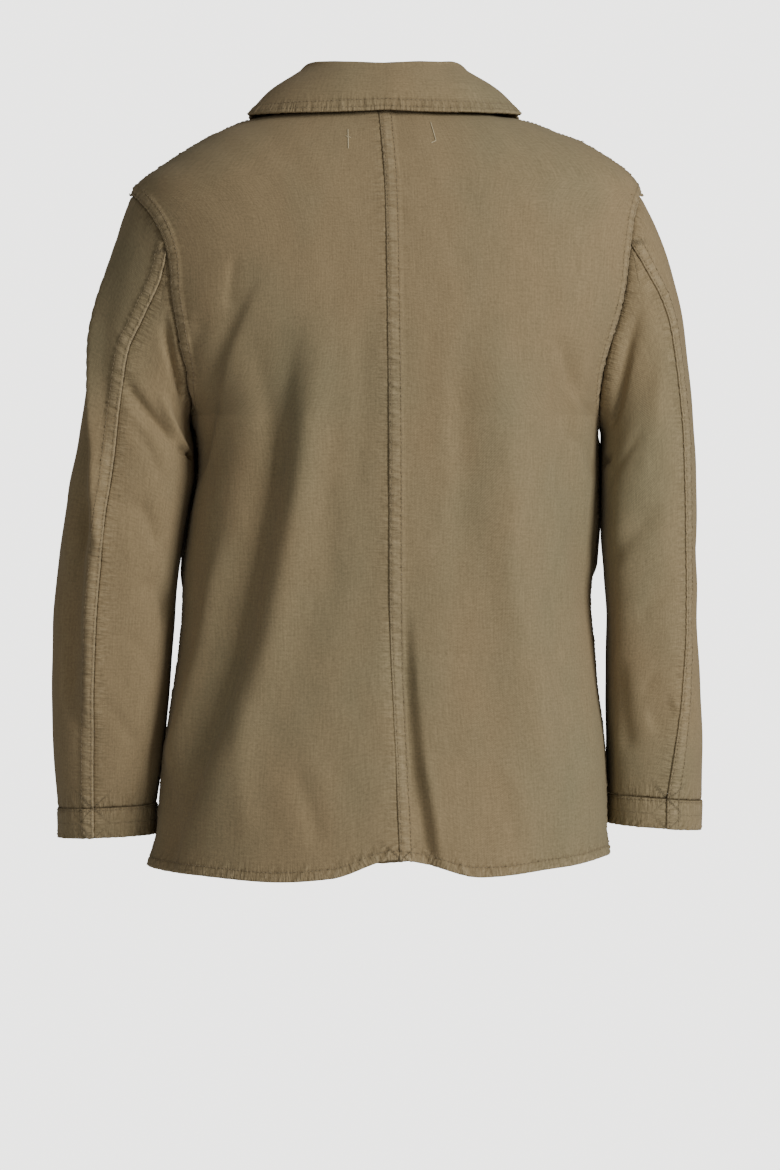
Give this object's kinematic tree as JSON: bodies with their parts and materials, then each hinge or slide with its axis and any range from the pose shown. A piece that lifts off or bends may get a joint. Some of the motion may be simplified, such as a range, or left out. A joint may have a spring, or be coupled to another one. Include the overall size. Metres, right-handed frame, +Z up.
{
  "type": "chore jacket",
  "caption": "Worn hip-length chore jacket with a turn-down collar, two-piece sleeves, deep turned cuffs, patch pockets and a buttoned front, hollow and open as on a wearer.",
  "frame": {"origin": "centre of the neck opening, at the height of the seam that joins collar and back at the nape, in the plane of the shoulder seams", "axes": "+Z up, the front of the jacket faces -Y, the wearer's left is +X"},
  "size_m": [0.5211, 0.2503, 0.6452],
  "materials": {
    "cloth": "matte, garment-washed twill",
    "button": "satin"
  },
  "bodies": {
    "root": {"back_left": "cloth", "back_right": "cloth", "front_left": "cloth", "front_right": "cloth", "sleeve_left_upper": "cloth", "sleeve_left_under": "cloth", "sleeve_right_upper": "cloth", "sleeve_right_under": "cloth", "cuff_left_upper": "cloth", "cuff_left_under": "cloth", "cuff_right_upper": "cloth", "cuff_right_under": "cloth", "collar": "cloth", "pocket_left": "cloth", "pocket_right": "cloth", "button_1": "button", "button_2": "button", "button_3": "button", "button_4": "button", "button_5": "button"}
  },
  "joints": []
}
